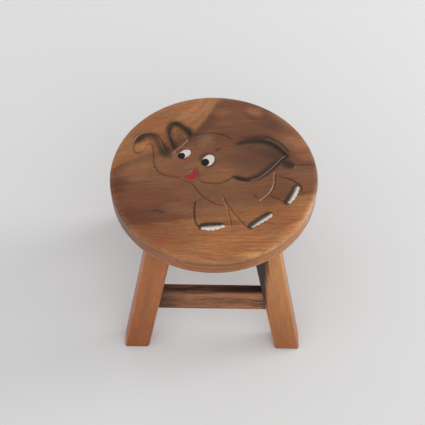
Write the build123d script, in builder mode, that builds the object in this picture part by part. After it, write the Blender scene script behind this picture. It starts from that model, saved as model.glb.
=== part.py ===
from build123d import *
from math import atan, degrees, radians, sqrt, tan
import os

# A child's round hardwood stool. Two end frames, each of two splayed legs and a low stretcher, are
# tied by two higher side stretchers. A batten caps each end frame and is screwed up into the seat,
# which is one thick round board with an elephant carved into its top.
# Millimetres, +Z up, origin on the floor under the middle of the seat, front towards -Y.

# ---------------------------------------------------------------- driving dimensions
stool_height = 240.0

seat_diameter = 250.0
seat_thickness = 25.0
seat_edge_radius = 3.0

leg_width = 33.0  # along X
leg_depth = 27.0  # along Y
leg_corner_radius = 3.0
leg_splay = 0.20  # lean towards the middle per unit of height, sideways and front to back alike
foot_outer_x = 118.0  # outer face of a foot from the middle plane
foot_outer_y = 113.0
foot_edge_radius = 2.8  # less than leg_corner_radius

batten_thickness = 18.0
batten_width = 40.0
batten_overhang = 4.0  # past the outer faces of the legs
batten_chamfer = 2.0

end_stretcher_height = 34.5
end_stretcher_thickness = 12.0
end_stretcher_level = 86.8  # middle of its end section above the floor

side_stretcher_height = 26.0
side_stretcher_thickness = 12.0
side_stretcher_level = 132.0

stretcher_edge_radius = 1.2
shoulder_height = 4.0  # above and below a stretcher's tenon
shoulder_depth = 2.5  # in front of and behind a stretcher's tenon
stretcher_tenon_length = 14.0

leg_tenon_width = 21.0
leg_tenon_depth = 15.0

glue_gap = 0.1  # all round a tenon
tenon_end_gap = 0.8  # past a tenon's end

screw_head_diameter = 8.0
screw_shank_diameter = 4.0
screw_bite = 14.0  # depth in the seat
screw_tip_length = 4.0
screw_head_sink = 0.4  # head below the batten's face
screw_slot_width = 1.0
screw_slot_depth = 1.2
screw_spacing = 52.0  # between the two screws of a batten
countersink_angle = 90.0
screw_play = 0.2  # round the shank in the batten
thread_gap = 0.05  # round the shank in the seat
pilot_end_gap = 1.0  # past the screw's tip

groove_width = 2.4
groove_depth = 1.3
paint_recess = 0.6  # depth of the eyes, mouth and toenails

# ---------------------------------------------------------------- sizes that follow
seat_radius = seat_diameter / 2
seat_bottom = stool_height - seat_thickness
batten_bottom = seat_bottom - batten_thickness

leg_axis_x = foot_outer_x - leg_width / 2  # middle of a foot on the floor
leg_axis_y = foot_outer_y - leg_depth / 2
leg_inner_x = foot_outer_x - leg_width
leg_inner_y = foot_outer_y - leg_depth
foot_edge_step = foot_edge_radius * (1 - sqrt(0.5))
foot_edge = (  # level and inset of the eased edge round a foot
    (0, foot_edge_radius),
    (foot_edge_step, foot_edge_step),
    (foot_edge_radius, 0),
)
slant = sqrt(1 + 2 * leg_splay**2)  # length along a leg per unit of height
face_slant = sqrt(1 + leg_splay**2)  # length up a leg's face per unit of height

batten_length = 2 * (foot_outer_x - leg_splay * batten_bottom + batten_overhang)
batten_axis_y = leg_axis_y - leg_splay * (batten_bottom + batten_thickness / 2)
leg_tenon_length = batten_thickness - tenon_end_gap

end_tenon_height = end_stretcher_height - 2 * shoulder_height
end_tenon_thickness = end_stretcher_thickness - 2 * shoulder_depth
side_tenon_height = side_stretcher_height - 2 * shoulder_height
side_tenon_thickness = side_stretcher_thickness - 2 * shoulder_depth

screw_shank_radius = screw_shank_diameter / 2
screw_head_radius = screw_head_diameter / 2
screw_head_bottom = batten_bottom + screw_head_sink
head_flare = tan(radians(countersink_angle / 2))  # growth in radius per unit of height
screw_head_height = (screw_head_radius - screw_shank_radius) / head_flare
screw_tip = seat_bottom + screw_bite

os.makedirs("parts", exist_ok=True)


def finish(piece, name):
    """Label a finished piece and write it."""
    piece.label = name
    export_step(piece, f"parts/{name}.step")
    print(name, round(piece.volume), "mm3")


def leaning_plane(out_x, out_y, distance):
    """Plane facing out along (out_x, out_y) at that distance on the floor, leaning in as the legs do."""
    return Plane(
        origin=(out_x * distance, out_y * distance, 0),
        x_dir=(-out_y, out_x, 0),
        z_dir=(out_x, out_y, leg_splay),
    )


def tenon_section(frame_out, end_out, face_distance, axis_distance, level, width, height):
    """Rectangle of a stretcher's tenon on the leg face that its shoulder meets, in line with the leg.

    frame_out is the way that the stretcher's own frame faces, and end_out the way from the stretcher
    into the leg, so the leg's middle lies axis_distance out along frame_out at the floor.
    """
    turn = frame_out[1] * end_out[0] - frame_out[0] * end_out[1]
    lean = degrees(atan(turn * leg_splay / face_slant))
    with BuildSketch(leaning_plane(*end_out, face_distance)) as section:
        with Locations((turn * (axis_distance - leg_splay * level), level * face_slant)):
            Rectangle(width, height, rotation=lean)
    return section.sketch


def end_tenon(x_side, y_side, gap):
    """Tenon of a front or rear stretcher on the inner side face of a leg."""
    return tenon_section(
        (0, y_side),
        (x_side, 0),
        leg_inner_x,
        leg_axis_y,
        end_stretcher_level,
        end_tenon_thickness + 2 * gap,
        end_tenon_height + 2 * gap,
    )


def side_tenon(x_side, y_side, gap):
    """Tenon of a left or right stretcher on the inner end face of a leg."""
    return tenon_section(
        (x_side, 0),
        (0, y_side),
        leg_inner_y,
        leg_axis_x,
        side_stretcher_level,
        side_tenon_thickness + 2 * gap,
        side_tenon_height + 2 * gap,
    )


def leg_section(x_side, y_side, level, width, depth, radius):
    """Level section of a leg or of its top tenon, at that height."""
    with BuildSketch(Plane.XY.offset(level)) as section:
        with Locations(
            (
                x_side * (leg_axis_x - leg_splay * level),
                y_side * (leg_axis_y - leg_splay * level),
            )
        ):
            if radius > 0:
                RectangleRounded(width, depth, radius)
            else:
                Rectangle(width, depth)
    return section.sketch


# ---------------------------------------------------------------- legs
# Each leg is a rectangular bar cut level at both ends, leaning in by leg_splay both ways, with its
# foot's edge eased in two flats. A tenon on its top goes up into the batten, and two blind mortises
# take the stretchers.
for y_side, end in ((-1, "front"), (1, "rear")):
    for x_side, hand in ((-1, "left"), (1, "right")):
        inward = (-x_side * leg_splay, -y_side * leg_splay, 1)
        with BuildPart() as leg:
            sole, cheek, foot = (
                leg_section(
                    x_side,
                    y_side,
                    level,
                    leg_width - 2 * inset,
                    leg_depth - 2 * inset,
                    leg_corner_radius - inset,
                )
                for level, inset in foot_edge
            )
            loft((sole, cheek, foot), ruled=True)
            extrude(foot, amount=(batten_bottom - foot_edge_radius) * slant, dir=inward)
            tenon = leg_section(x_side, y_side, batten_bottom, leg_tenon_width, leg_tenon_depth, 0)
            extrude(tenon, amount=leg_tenon_length * slant, dir=inward)
            extrude(
                end_tenon(x_side, y_side, glue_gap),
                amount=stretcher_tenon_length + tenon_end_gap,
                mode=Mode.SUBTRACT,
            )
            extrude(
                side_tenon(x_side, y_side, glue_gap),
                amount=stretcher_tenon_length + tenon_end_gap,
                mode=Mode.SUBTRACT,
            )
        finish(leg.part, f"{end}_{hand}_leg")

# ---------------------------------------------------------------- front and rear stretchers
# A flat rail in the plane of its two legs, centred in their depth, with a stub tenon at each end.
for y_side, end in ((-1, "front"), (1, "rear")):
    with BuildPart() as stretcher:
        with BuildSketch(leaning_plane(0, y_side, leg_axis_y)):
            with Locations((0, end_stretcher_level * face_slant)):
                Rectangle(2 * leg_inner_x, end_stretcher_height)
        extrude(amount=end_stretcher_thickness / 2, both=True)
        fillet(stretcher.edges().filter_by(Axis.X), stretcher_edge_radius)
        for x_side in (-1, 1):
            split(bisect_by=leaning_plane(x_side, 0, leg_inner_x), keep=Keep.BOTTOM)
        for x_side in (-1, 1):
            extrude(end_tenon(x_side, y_side, 0), amount=stretcher_tenon_length)
    finish(stretcher.part, f"{end}_stretcher")

# ---------------------------------------------------------------- left and right stretchers
# The same kind of rail, higher up, between the front and the rear leg of one side.
for x_side, hand in ((-1, "left"), (1, "right")):
    with BuildPart() as stretcher:
        with BuildSketch(leaning_plane(x_side, 0, leg_axis_x)):
            with Locations((0, side_stretcher_level * face_slant)):
                Rectangle(2 * leg_inner_y, side_stretcher_height)
        extrude(amount=side_stretcher_thickness / 2, both=True)
        fillet(stretcher.edges().filter_by(Axis.Y), stretcher_edge_radius)
        for y_side in (-1, 1):
            split(bisect_by=leaning_plane(0, y_side, leg_inner_y), keep=Keep.BOTTOM)
        for y_side in (-1, 1):
            extrude(side_tenon(x_side, y_side, 0), amount=stretcher_tenon_length)
    finish(stretcher.part, f"{hand}_stretcher")

# ---------------------------------------------------------------- battens
# A flat batten caps the two legs of each end frame. The legs' tenons stand in its slanted through
# mortises, and two countersunk holes in its underside take the seat screws.
for y_side, end in ((-1, "front"), (1, "rear")):
    with BuildPart() as batten:
        with BuildSketch(Plane.XY.offset(batten_bottom)):
            with Locations((0, y_side * batten_axis_y)):
                Rectangle(batten_length, batten_width)
        extrude(amount=batten_thickness)
        chamfer(batten.faces().sort_by(Axis.Z)[0].edges(), batten_chamfer)
        for x_side in (-1, 1):
            mortise = leg_section(
                x_side,
                y_side,
                batten_bottom,
                leg_tenon_width + 2 * glue_gap,
                leg_tenon_depth + 2 * glue_gap,
                0,
            )
            extrude(
                mortise,
                amount=batten_thickness * slant,
                dir=(-x_side * leg_splay, -y_side * leg_splay, 1),
                mode=Mode.SUBTRACT,
            )
        underside = Plane(
            origin=(0, y_side * batten_axis_y, batten_bottom), x_dir=(1, 0, 0), z_dir=(0, 0, -1)
        )
        with Locations(underside):
            with GridLocations(screw_spacing, 0, 2, 1):
                CounterSinkHole(
                    radius=screw_shank_radius + screw_play,
                    counter_sink_radius=screw_head_radius + screw_head_sink * head_flare,
                    counter_sink_angle=countersink_angle,
                )
    finish(batten.part, f"{end}_batten")

# ---------------------------------------------------------------- seat screws
# Countersunk wood screws with a cross slot, driven up through the battens into the seat.
with BuildPart() as screw:
    with BuildSketch(Plane.XZ):
        with BuildLine():
            Polyline(
                (0, screw_head_bottom),
                (screw_head_radius, screw_head_bottom),
                (screw_shank_radius, screw_head_bottom + screw_head_height),
                (screw_shank_radius, screw_tip - screw_tip_length),
                (0, screw_tip),
                close=True,
            )
        make_face()
    revolve(axis=Axis.Z)
    with BuildSketch(Plane.XY.offset(screw_head_bottom)):
        Rectangle(screw_head_radius, screw_slot_width)
        Rectangle(screw_slot_width, screw_head_radius)
    extrude(amount=screw_slot_depth, mode=Mode.SUBTRACT)

with BuildPart() as seat_screws:
    with GridLocations(screw_spacing, 2 * batten_axis_y, 2, 2):
        add(screw.part)
finish(seat_screws.part, "seat_screws")

# ---------------------------------------------------------------- seat
# The carving is laid out in hundredths of the seat's radius, X to the right and Y to the back. Each
# line is the middle of one gouge cut.
unit = seat_radius / 100

gouge_lines = {
    "top of the trunk": (
        (-79.5, 36),
        (-77, 42),
        (-70, 48.5),
        (-60, 49),
        (-54, 44),
        (-48.5, 32),
        (-42.5, 23.5),
    ),
    "tip of the trunk, its underside and the jaw": (
        (-79.5, 36),
        (-80, 31.5),
        (-78, 26.5),
        (-73, 26),
        (-69, 31),
        (-65.5, 35.5),
        (-61.5, 33),
        (-60, 25),
        (-58, 9.5),
        (-52, 1),
        (-44, -3),
        (-36, -4),
    ),
    "far ear": ((-41, 31), (-45, 48), (-44.5, 60), (-39.5, 64), (-32, 59), (-25, 51), (-23, 46)),
    "crown of the head": ((-23, 46), (-16, 49.5), (-8, 51), (2, 50.5), (10, 48), (17.5, 43.5)),
    "fold of the far ear": ((-39, 25), (-33, 32), (-28, 38), (-25, 43.5)),
    "cheek": ((-14.5, -8), (-9, -11), (-2, -12.2), (6, -11.2), (13, -8), (18.5, -4)),
    "back of the near ear": ((24, 45.5), (32, 48), (44, 48), (56, 43.5), (66, 36), (75.5, 27)),
    "upper rim of the near ear": ((24, 39), (33, 43), (43, 43.5), (54, 39.5), (63, 32.5), (71, 23)),
    "lower rim of the near ear": (
        (71, 23),
        (62.5, 12.5),
        (53, 2),
        (44, -5),
        (34, -8),
        (25, -6),
        (18.5, -4),
    ),
    "chest": ((-29, -8), (-21, -12), (-14, -20), (-8, -28), (0, -34.5), (9.5, -38.5)),
    "front leg, front": ((-17, -31.5), (-17.8, -40), (-17.2, -52), (-14.5, -59), (-11, -64)),
    "front leg, back": ((12, -37), (14, -46), (15.8, -54), (16.4, -61)),
    "middle leg, front": ((9.5, -28), (13, -37), (20, -47), (28, -58), (34, -63)),
    "middle leg, back": ((37.5, -23), (39.2, -25.8), (41, -28.5)),
    "rump": ((58.8, 0), (58.6, -8), (56, -18), (51.5, -25.5), (43.5, -31.5)),
    "rear leg, top": ((61, -2.5), (69, -4.5), (77, -9), (82.5, -14)),
    "rear leg, underside": ((53, -25.3), (59, -27.5), (65.5, -30.5)),
}

# Far eye, near eye and tail tuft: middle, two semi-axes and turn in degrees.
ovals = (
    ((-29.8, 24.2), 6.6, 5.0, 40),
    ((-5.5, 16.2), 8.2, 6.2, 62),
    ((72, 12.5), 6.5, 4.5, 15),
)

# Toenails: middle, length, width and turn in degrees.
nails = (
    ((0, -61), 22, 5.6, 5),
    ((44.5, -53.5), 24, 5.6, 37),
    ((74, -23.5), 22, 5.6, 62),
)

mouth = ((-29.5, -4.5), (-23, -8), (-16.5, -6), (-15.2, 0), (-17.5, 5), (-20.5, 3), (-24, -1.5))

with BuildPart() as seat:
    with BuildSketch(Plane.XY.offset(seat_bottom)):
        Circle(seat_radius)
    extrude(amount=seat_thickness)
    fillet(seat.edges(), seat_edge_radius)
    with Locations(Plane(origin=(0, 0, seat_bottom), x_dir=(1, 0, 0), z_dir=(0, 0, -1))):
        with GridLocations(screw_spacing, 2 * batten_axis_y, 2, 2):
            Hole(radius=screw_shank_radius + thread_gap, depth=screw_bite + pilot_end_gap)
    with BuildSketch(Plane.XY.offset(stool_height)):
        for line in gouge_lines.values():
            middle = [(x * unit, y * unit) for x, y in line]
            with BuildLine():
                Spline(*middle)
            trace(line_width=groove_width)
            with Locations(middle[0], middle[-1]):
                Circle(groove_width / 2)
    extrude(amount=-groove_depth, mode=Mode.SUBTRACT)
    with BuildSketch(Plane.XY.offset(stool_height)):
        for (x, y), long_axis, short_axis, turn in ovals:
            with Locations((x * unit, y * unit)):
                Ellipse(long_axis * unit, short_axis * unit, rotation=turn)
        for (x, y), length, width, turn in nails:
            with Locations((x * unit, y * unit)):
                SlotOverall(length * unit, width * unit, rotation=turn)
        with BuildLine():
            Spline(*[(x * unit, y * unit) for x, y in mouth], periodic=True)
        make_face()
    extrude(amount=-paint_recess, mode=Mode.SUBTRACT)
finish(seat.part, "seat")
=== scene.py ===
from math import cos, pi, radians, sin

import bpy
import numpy as np
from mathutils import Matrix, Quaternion, Vector
from mathutils.geometry import delaunay_2d_cdt


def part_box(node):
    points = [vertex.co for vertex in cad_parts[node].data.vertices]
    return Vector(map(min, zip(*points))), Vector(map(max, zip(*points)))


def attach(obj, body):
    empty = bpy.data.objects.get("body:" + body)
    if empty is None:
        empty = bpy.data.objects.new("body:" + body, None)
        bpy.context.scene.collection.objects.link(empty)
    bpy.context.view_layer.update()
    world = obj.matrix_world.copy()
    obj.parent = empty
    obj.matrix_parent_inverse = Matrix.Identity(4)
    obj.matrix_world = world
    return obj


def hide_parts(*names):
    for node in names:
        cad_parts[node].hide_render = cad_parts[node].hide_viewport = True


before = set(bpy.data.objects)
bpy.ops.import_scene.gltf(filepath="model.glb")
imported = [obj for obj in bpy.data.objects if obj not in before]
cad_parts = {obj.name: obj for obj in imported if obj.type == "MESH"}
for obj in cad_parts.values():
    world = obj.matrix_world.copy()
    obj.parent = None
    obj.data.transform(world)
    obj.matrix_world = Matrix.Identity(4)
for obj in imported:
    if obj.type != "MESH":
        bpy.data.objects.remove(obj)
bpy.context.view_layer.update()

# ================================================================ camera
# A long lens in front of the stool, looking down on the seat from 1.10 m. It is turned and rolled
# by a fraction of a degree, as a hand-held camera is.
aim = Vector((-0.00133, 0, 0.15911))
camera_distance = 1.10
camera_elevation = radians(54.911)
camera_azimuth = radians(0.600)
camera_roll = radians(0.355)

camera_data = bpy.data.cameras.new("camera")
camera_data.lens = 72.894
camera_data.sensor_width = 36
camera_data.dof.use_dof = False


def added(name, data):
    """A new object of the scene that holds the given data."""
    thing = bpy.data.objects.new(name, data)
    bpy.context.scene.collection.objects.link(thing)
    return thing


camera = added("camera", camera_data)
outward = Vector((
    sin(camera_azimuth) * cos(camera_elevation),
    -cos(camera_azimuth) * cos(camera_elevation),
    sin(camera_elevation),
))
camera.location = aim + camera_distance * outward
camera.rotation_mode = "QUATERNION"
camera.rotation_quaternion = outward.to_track_quat("Z", "Y") @ Quaternion((0, 0, 1), camera_roll)
bpy.context.scene.camera = camera
bpy.context.scene.view_settings.view_transform = "Standard"

# ================================================================ floor and light
# A sheet of pale paper in a plain white tent that is brighter near the horizon, so that light
# reaches under the seat. A soft window stands at the right and a little behind, and a weaker one
# in front.


def put(tree, kind, wires, result=0, **settings):
    """Add one shader node. wires maps its inputs, by name or number, to a value or to the output of
    another node, and settings are the node's own properties. The chosen output comes back."""
    node = tree.nodes.new("ShaderNode" + kind)
    for name, value in settings.items():
        setattr(node, name, value)
    for socket, value in wires.items():
        if isinstance(value, bpy.types.NodeSocket):
            tree.links.new(value, node.inputs[socket])
        else:
            node.inputs[socket].default_value = value
    return node.outputs[result]


def maths(tree, operation, first, second=0.0, clamp=False):
    """One step of arithmetic on two numbers, kept between 0 and 1 where clamp is set."""
    return put(tree, "Math", {0: first, 1: second}, operation=operation, use_clamp=clamp)


def axes(tree, place):
    """The X, Y and Z of a place."""
    return put(tree, "SeparateXYZ", {"Vector": place}).node.outputs


def paint(red, green, blue):
    """Linear colour of an 8-bit screen colour: c / 12.92 below 0.04045 and
    ((c + 0.055) / 1.055)^2.4 above."""
    screen = np.array((red, green, blue)) / 255
    linear = np.where(screen > 0.04045, ((screen + 0.055) / 1.055) ** 2.4, screen / 12.92)
    return (*linear.tolist(), 1.0)


def new_material(name):
    """An empty material: its node tree and its output node's surface input."""
    material = bpy.data.materials.new(name)
    material.use_nodes = True
    material.node_tree.nodes.clear()
    output = material.node_tree.nodes.new("ShaderNodeOutputMaterial")
    return material, material.node_tree, output.inputs["Surface"]


floor_half = 6.0
horizon_light = 1.47
zenith_light = 0.49
floor_colour = paint(230, 230, 230)
tent_tone = 0.9  # the tent behind is as bright as the floor far away

floor_mesh = bpy.data.meshes.new("floor")
corners = [(x * floor_half, y * floor_half, 0) for x, y in ((-1, -1), (1, -1), (1, 1), (-1, 1))]
floor_mesh.from_pydata(corners, [], [(0, 1, 2, 3)])
floor = added("floor", floor_mesh)
floor_material, tree, surface = new_material("paper")
shade = put(tree, "BsdfDiffuse", {"Color": floor_colour, "Roughness": 1.0})
tree.links.new(shade, surface)
floor_mesh.materials.append(floor_material)

world = bpy.data.worlds.new("tent")
bpy.context.scene.world = world
world.use_nodes = True
tree = world.node_tree
tree.nodes.clear()
up = axes(tree, put(tree, "TexCoord", {}, "Generated"))["Z"]
brightness = put(tree, "MapRange", {"Value": up, "To Min": horizon_light, "To Max": zenith_light})
tent_light = put(tree, "Background", {"Color": (1, 1, 1, 1), "Strength": brightness})
tent_seen = put(tree, "Background", {"Color": floor_colour, "Strength": tent_tone})
rays = put(tree, "LightPath", {}).node.outputs
seen = maths(tree, "MAXIMUM", rays["Is Camera Ray"], rays["Is Glossy Ray"])
seen = maths(tree, "MAXIMUM", seen, rays["Is Transmission Ray"])
mixed = put(tree, "MixShader", {0: seen, 1: tent_light, 2: tent_seen})
world_output = tree.nodes.new("ShaderNodeOutputWorld")
tree.links.new(mixed, world_output.inputs["Surface"])

# Lamps: name, diameter, power and place.
lamps = (("window", 0.78, 10.5, (1.50, 0.40, 1.10)), ("fill", 1.0, 2.2, (0.30, -1.00, 1.30)))
for name, size, power, spot in lamps:
    lamp = added(name, bpy.data.lights.new(name, "AREA"))
    lamp.data.shape = "DISK"
    lamp.data.size = size
    lamp.data.energy = power
    lamp.location = spot
    lamp.rotation_mode = "QUATERNION"
    lamp.rotation_quaternion = (lamp.location - aim).to_track_quat("Z", "Y")

# ================================================================ seat
# One thick round board of a heavy brown hardwood, grain from left to right, with pale sapwood at
# the back left. An elephant is cut into its top with a V gouge, shaded with dark spray and
# finished with enamel paint on the eyes, mouth and toenails. Sanded round edge, satin lacquer.
MM = 0.001  # the seat's sizes are in millimetres
seat_radius = 125.0
seat_top = 240.0
seat_bottom = 215.0
edge_radius = 3.0
rim_points = 420
cut_step, mouth_step, spray_step = 0.6, 0.7, 1.5  # between the points of their lines
curve_steps = 24  # points of a curve between two given ones
run_out_length = 3.0  # a cut grows narrow and shallow over this length at its ends
run_out_least = 0.45
lead_in_depth = 0.10  # of the cut's depth, in the hollow around it
shade_end, shade_fade = 1.15, 0.5  # in half widths of the cut
wall_turn, shaded_wall = 0.22, 0.7  # share of the width between the walls, painted shade on the dark one
spray_loss, most_lost = 1.6, 0.65  # of the spray, taken off the wall that is painted light
eye_edge, eye_dome, eye_lip = 0.55, 0.45, 0.5  # depth, rise of the middle, width of the lip
nail_edge, nail_dome = 0.42, 0.22
mouth_edge, mouth_spoon, mouth_slope, mouth_lip = 0.45, 0.75, 4.0, 0.4
nail_fullness = 0.74  # half width of a toenail over its share of the row
not_painted = -9.0  # far outside the paint, where its reach isn't worked out

# Gouge cuts: points in millimetres from the seat's middle, width, depth, and how much painted shade
# darkens it. A fourth number is the direction, in degrees, of the wall that is painted pale as lit,
# with the spray kept off it, while the wall across from it gets painted shade.
cuts = {
    "top of the trunk": (
        ((-98.8, 46), (-97.4, 52), (-94.6, 57.3), (-90, 61.2), (-84, 63.2), (-77.5, 62.8),
         (-72.5, 60.4), (-69, 56.5), (-66.4, 51), (-64, 44.5), (-61.6, 39), (-58.6, 33.8),
         (-55.2, 29.8), (-52.5, 27.4)),
        2.6, 1.1, 0.4, 143),
    "tip and underside of the trunk": (
        ((-98.8, 46), (-99.5, 41), (-99.2, 36), (-97.8, 33), (-95, 31), (-91, 31.7),
         (-88.2, 34), (-86.3, 38), (-84.6, 42.2), (-82, 45.2), (-79, 45.2), (-76.4, 42),
         (-75.2, 36), (-74.6, 29), (-73.8, 19), (-71.8, 11), (-68, 3.6), (-62, -1.4),
         (-54.5, -4.2), (-47, -5.4), (-40, -5.6)),
        3.2, 1.1, 0.24),
    "far ear": (
        ((-49.8, 38.5), (-52.2, 46), (-55, 53.5), (-56.8, 61), (-57.2, 68), (-55.5, 75),
         (-51.5, 79), (-47, 78.3), (-42, 75), (-36.5, 70), (-32, 64.5), (-29.5, 58.5)),
        2.6, 1, 0.1),
    "fold of the far ear": (
        ((-49.5, 31), (-44, 37), (-38.5, 43.5), (-34, 49.5), (-30.5, 55)),
        3.6, 1.5, 0.28, 143),
    "crown of the head": (
        ((-30, 56.5), (-25, 60), (-19, 62), (-10, 63.6), (0, 63.8), (8, 62.3), (15, 59), (21, 55)),
        2.8, 0.9, 0.3),
    "cheek": (
        ((-18.8, -8.6), (-15, -11.2), (-10, -13.2), (-3, -14.2), (5, -13.8), (12, -11.6),
         (18, -7.5), (23, -4.8)),
        3, 1, 0.34),
    "back of the near ear": (
        ((30, 57), (37, 58.5), (45, 59.8), (53, 60.8), (60, 60.9), (66, 59.3), (72, 56.4),
         (78, 52.6), (82.6, 48.2), (86.4, 43.2), (89.6, 38.2), (92.6, 34.6)),
        3, 1.2, 0.34),
    "upper rim of the near ear": (
        ((28, 46.8), (34, 49.6), (41, 51.4), (50, 52.2), (59, 51.8), (66, 50), (72.5, 46.6),
         (78, 42), (82.5, 37.2), (86.5, 32.6), (89.3, 29.4)),
        2.6, 1.2, 0.3),
    "outer bevel of the near ear": (
        ((62, 55.2), (69, 52.6), (75.6, 49.4), (79.6, 46.2), (83, 42), (86.4, 36.8), (89, 32)),
        2, 0.6, 0.42, 48),
    "inner bevel of the near ear": (
        ((27, 42.3), (33, 45.2), (40, 47.2), (49, 48.2)), 1.8, 0.45, 0.3, -90),
    "lower rim of the near ear": (
        ((89.3, 29.8), (85.2, 27), (80.6, 22.4), (77, 17.4), (73.5, 13.1), (69.4, 8.3), (64, 2.9),
         (58.5, -2.4), (53.6, -6), (47, -8.8), (42, -9.6)),
        3, 1.5, 0.45, 143),
    "lower rim of the near ear, inner end": (
        ((47, -8.8), (42, -9.6), (37.5, -9.2), (31, -7.2), (25, -5)), 3, 1.4, 0.25),
    "edge of the tail": (
        ((94.5, 20.4), (97.4, 19), (99.2, 16), (98.9, 12.6), (96.6, 10)), 1.8, 0.6, 0.35, 0),
    "inner edge of the far ear": (
        ((-48, 66), (-42.5, 62.5), (-37.5, 58.2), (-33.2, 53)), 1.6, 0.4, 0.3, 45),
    "chest": (
        ((-26, -15.4), (-23, -19.4), (-20, -24.2), (-16.5, -29), (-12.6, -33.3), (-8, -37.2),
         (-4, -40.4), (0, -42.9), (4, -44.7), (8, -45.9), (13, -47)),
        3, 1.2, 0.16),
    "chin": (((-36, -10.4), (-31.5, -12.2), (-27.5, -14), (-24.5, -17.4)), 2.6, 0.6, 0.18),
    "front leg, front": (
        ((-21.8, -38.6), (-22, -45), (-22.2, -52), (-22, -60), (-21.2, -66), (-20, -71),
         (-18, -75), (-15.8, -77)),
        3.2, 1.3, 0.5),
    "front leg, back": (
        ((13.6, -40), (15.6, -46), (17, -51.5), (18, -57), (18.9, -62), (19.8, -67), (20.6, -71.5),
         (21, -75.5)),
        2.8, 1.2, 0.42, 175),
    "middle leg, front": (
        ((11.6, -33.5), (13.6, -39), (16.2, -44.2), (18.8, -49), (22, -54.2), (26, -60),
         (30.5, -66), (34.6, -71.4), (37.8, -75.4), (41, -77.4)),
        3.4, 1.4, 0.45, 160),
    "middle leg, back": (
        ((54.8, -39.6), (58, -44.2), (61.2, -48.2), (64.2, -51.5), (67.5, -55.5)),
        1.8, 0.5, 0.3, 50),
    "top of the middle leg": (((47, -28.3), (49.5, -32), (51.8, -35.5)), 2.6, 1.1, 0.3),
    "rump": (
        ((74.2, 4), (73.4, -2), (73, -9), (72.2, -15), (70, -21.4), (67, -26.6), (63.6, -30.8),
         (59.6, -35), (55, -39.4)),
        3.2, 1.4, 0.7, 150),
    "rear leg, top": (
        ((77, -2.8), (84, -3.9), (89, -5.2), (94, -7.8), (98, -10.7), (101.6, -13.4), (104, -17.2),
         (104.6, -21), (104.2, -25)),
        3, 1.2, 0.42),
    "rear leg, underside": (
        ((65.8, -30.8), (72, -33.8), (78, -36.9), (81.5, -38.4)), 3, 1.1, 0.34),
    "corner of the mouth": (((-21.2, 8.6), (-19.4, 4), (-18.9, -1), (-19.8, -5.8)), 1.8, 0.7, 0.4),
}

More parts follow.
